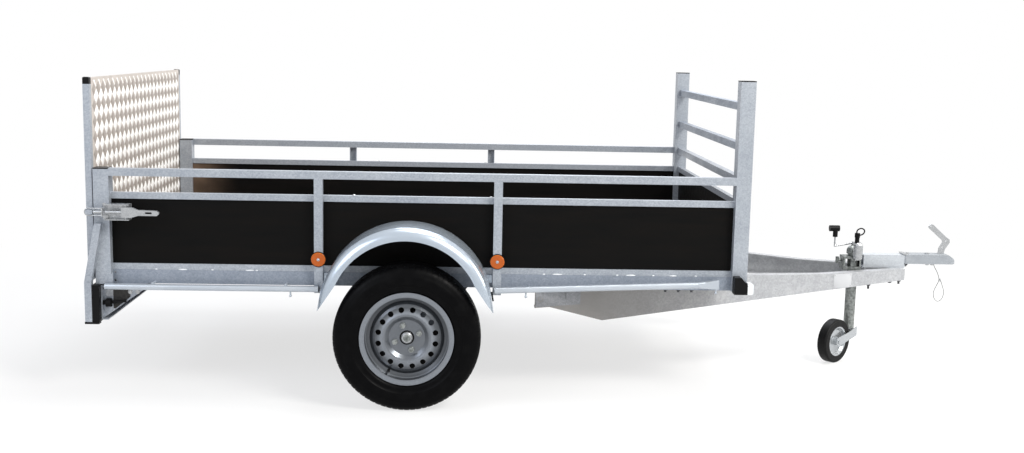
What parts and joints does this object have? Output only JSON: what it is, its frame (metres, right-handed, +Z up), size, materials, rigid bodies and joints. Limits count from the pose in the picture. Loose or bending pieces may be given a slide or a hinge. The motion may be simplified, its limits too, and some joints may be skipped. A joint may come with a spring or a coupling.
{
  "type": "utility trailer",
  "caption": "Single-axle box trailer with plywood sides on a galvanised frame, rear loading ramp, headboard, V drawbar and jockey wheel.",
  "frame": {"origin": "on the ground, midway along the overall length and between the wheels", "axes": "+X forward to the coupling, +Y to the left, +Z up"},
  "size_m": [3.775, 1.95, 1.289],
  "materials": {
    "galvanised": "hot-dip galvanised, dull",
    "plated_steel": "zinc plated",
    "plywood": "film-faced plywood, satin",
    "tread_plate": "mill finish tread plate",
    "mudguard": "galvanised sheet",
    "white_enamel": "silver-white lacquer",
    "tyre": "black rubber",
    "solid_tyre": "solid black rubber",
    "black_plastic": "matt black",
    "black_rubber": "black",
    "red_lens": "moulded lens",
    "amber_lens": "moulded lens",
    "clear_lens": "moulded lens"
  },
  "bodies": {
    "trailer": {"axle_tube": "galvanised", "coupling_head": "galvanised", "coupling_lever": "plated_steel", "cross_members": "galvanised", "draw_tube": "galvanised", "drawbar_left": "galvanised", "drawbar_right": "galvanised", "floor_board": "plywood", "front_panel": "plywood", "front_posts": "galvanised", "front_rails": "galvanised", "guard_buffers": "black_rubber", "headboard_bars": "galvanised", "headboard_posts": "galvanised", "hinge_pins": "galvanised", "jockey_clamp": "galvanised", "jockey_crank": "plated_steel", "jockey_grip": "black_plastic", "jockey_tube": "galvanised", "lamp_housings": "black_plastic", "latch_bases": "plated_steel", "latch_levers": "plated_steel", "light_bar": "galvanised", "marker_lenses": "clear_lens", "mudguard_left": "mudguard", "mudguard_right": "mudguard", "panel_rails": "galvanised", "plug": "black_plastic", "plug_holder": "plated_steel", "rear_guards": "galvanised", "rear_posts": "galvanised", "reflector_rims": "black_rubber", "safety_wire": "plated_steel", "side_beams": "galvanised", "side_panels": "plywood", "side_reflectors": "amber_lens", "side_stays": "galvanised", "side_top_rails": "galvanised", "swing_arm_left": "galvanised", "swing_arm_right": "galvanised", "tail_lenses": "red_lens", "tie_tubes": "galvanised", "tube_caps": "black_plastic"},
    "right_wheel": {"tyre_right": "tyre", "rim_right": "white_enamel", "hub_right": "plated_steel"},
    "left_wheel": {"tyre_left": "tyre", "rim_left": "white_enamel", "hub_left": "plated_steel"},
    "ramp": {"latch_loops": "plated_steel", "ramp_caps": "black_plastic", "ramp_frame": "galvanised", "ramp_plate": "tread_plate"},
    "jack_slider": {"jockey_slider": "galvanised"},
    "jack_fork": {"jockey_fork": "galvanised"},
    "jack_wheel": {"jockey_rim": "white_enamel", "jockey_tyre": "solid_tyre"}
  },
  "joints": [
    {"name": "right_wheel_spin", "type": "hinge", "parent": "trailer", "child": "right_wheel", "pos_m": [-0.617, -0.893, 0.286], "axis": [0, 1, 0], "continuous": true},
    {"name": "left_wheel_spin", "type": "hinge", "parent": "trailer", "child": "left_wheel", "pos_m": [-0.617, 0.893, 0.286], "axis": [0, 1, 0], "continuous": true},
    {"name": "ramp_hinge", "type": "hinge", "parent": "trailer", "child": "ramp", "pos_m": [-1.8665, 0, 0.472], "axis": [0, -1, 0], "range_deg": [0, 125]},
    {"name": "jack_slide", "type": "slide", "parent": "trailer", "child": "jack_slider", "axis": [0, 0, -1], "range_m": [0, 0.18]},
    {"name": "jack_swivel", "type": "hinge", "parent": "jack_slider", "child": "jack_fork", "pos_m": [1.389, -0.05966, 0.14], "axis": [0, 0, 1], "continuous": true},
    {"name": "jack_wheel_spin", "type": "hinge", "parent": "jack_fork", "child": "jack_wheel", "pos_m": [1.29861, -0.13551, 0.1], "axis": [-0.6428, 0.766, 0], "continuous": true}
  ]
}
